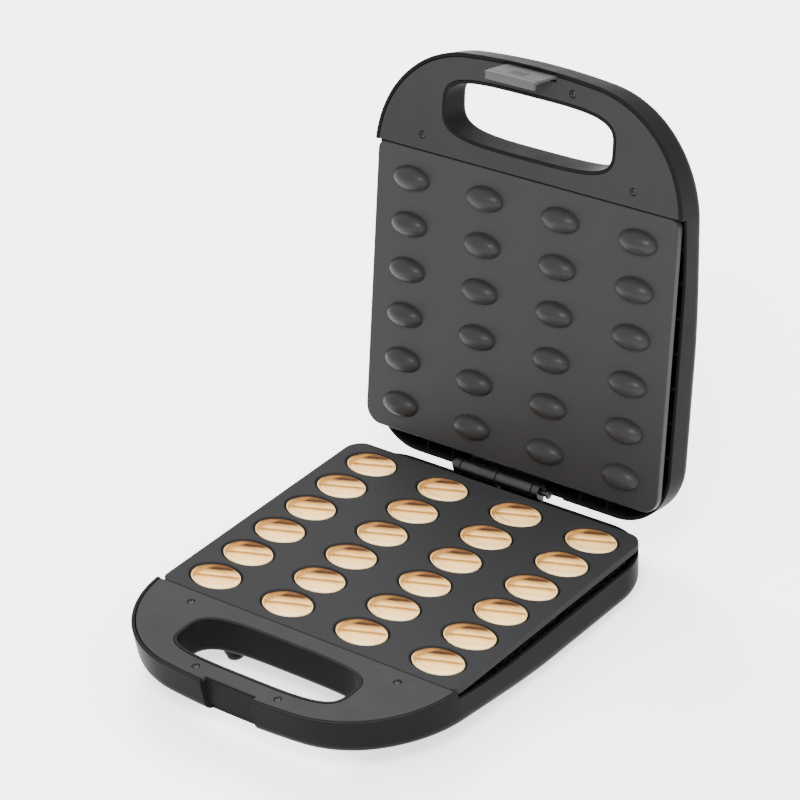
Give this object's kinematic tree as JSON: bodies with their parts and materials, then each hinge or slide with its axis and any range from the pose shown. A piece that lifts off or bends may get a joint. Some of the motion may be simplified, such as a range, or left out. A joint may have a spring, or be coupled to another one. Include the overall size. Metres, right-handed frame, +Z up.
{
  "type": "nut cookie maker",
  "caption": "Open hinged cookie maker with grab handles, a plate of oval nut-shell moulds below and matching domed studs above.",
  "frame": {"origin": "on the surface it stands on, under the middle of the open appliance's bounding box", "axes": "+X to the user's right, +Y from the handle towards the hinge, +Z up"},
  "size_m": [0.2514, 0.3725, 0.3265],
  "materials": {
    "housing_plastic": "fine satin, dark grey",
    "cover_plastic": "fine matt, grey",
    "latch_plastic": "satin, mid grey",
    "nonstick_plate": "cast aluminium under a dark satin non-stick coating",
    "steel": "zinc plated, semi-bright",
    "blackened_steel": "blackened, satin",
    "aluminised_sheet": "aluminised sheet, satin",
    "rubber": "matt black",
    "ceramic": "glazed ceramic, off-white",
    "red_lens": "clear red, glossy",
    "green_lens": "clear green, glossy"
  },
  "bodies": {
    "base": {"lower_housing": "housing_plastic", "cord_gland": "rubber", "foot_front_left": "housing_plastic", "foot_front_right": "housing_plastic", "foot_rear_left": "housing_plastic", "foot_rear_right": "housing_plastic", "foot_pad_front_left": "rubber", "foot_pad_front_right": "rubber", "foot_pad_rear_left": "rubber", "foot_pad_rear_right": "rubber", "lower_handle_cover": "cover_plastic", "lower_plate": "nonstick_plate", "lower_heating_element": "blackened_steel", "lower_heat_shield": "aluminised_sheet", "thermostat": "ceramic", "thermal_fuse": "steel", "terminal_block": "ceramic", "lower_hinge_bracket": "blackened_steel", "hinge_pin": "steel", "hinge_pin_cap": "blackened_steel", "lower_handle_screw_front_left": "steel", "lower_handle_screw_front_right": "steel", "lower_handle_screw_rear_left": "steel", "lower_handle_screw_rear_right": "steel", "lower_plate_screw_front_left": "steel", "lower_plate_screw_front_right": "steel", "lower_plate_screw_rear_left": "steel", "lower_plate_screw_rear_right": "steel", "lower_hinge_screw_left": "steel", "lower_hinge_screw_right": "steel"},
    "lid": {"upper_housing": "housing_plastic", "upper_handle_cover": "cover_plastic", "upper_plate": "nonstick_plate", "upper_heating_element": "blackened_steel", "upper_heat_shield": "aluminised_sheet", "upper_thermal_cutout": "ceramic", "upper_hinge_bracket": "blackened_steel", "power_lamp_lens": "red_lens", "ready_lamp_lens": "green_lens", "lamp_holder": "ceramic", "latch_pin": "steel", "upper_handle_screw_front_left": "steel", "upper_handle_screw_front_right": "steel", "upper_handle_screw_rear_left": "steel", "upper_handle_screw_rear_right": "steel", "upper_plate_screw_front_left": "steel", "upper_plate_screw_front_right": "steel", "upper_plate_screw_rear_left": "steel", "upper_plate_screw_rear_right": "steel", "upper_hinge_screw_left": "steel", "upper_hinge_screw_right": "steel"},
    "latch": {"latch": "latch_plastic", "latch_spring": "steel"}
  },
  "joints": [
    {"name": "lid_hinge", "type": "hinge", "parent": "base", "child": "lid", "pos_m": [0, 0.1017, 0.043], "axis": [1, 0, 0], "range_deg": [0, 102.26]},
    {"name": "latch_pivot", "type": "hinge", "parent": "lid", "child": "latch", "pos_m": [0, 0.16674, 0.31878], "axis": [-1, 0, 0], "range_deg": [0, 12], "stiffness_Nm_per_rad": 0.05, "springref_deg": -11.46}
  ]
}
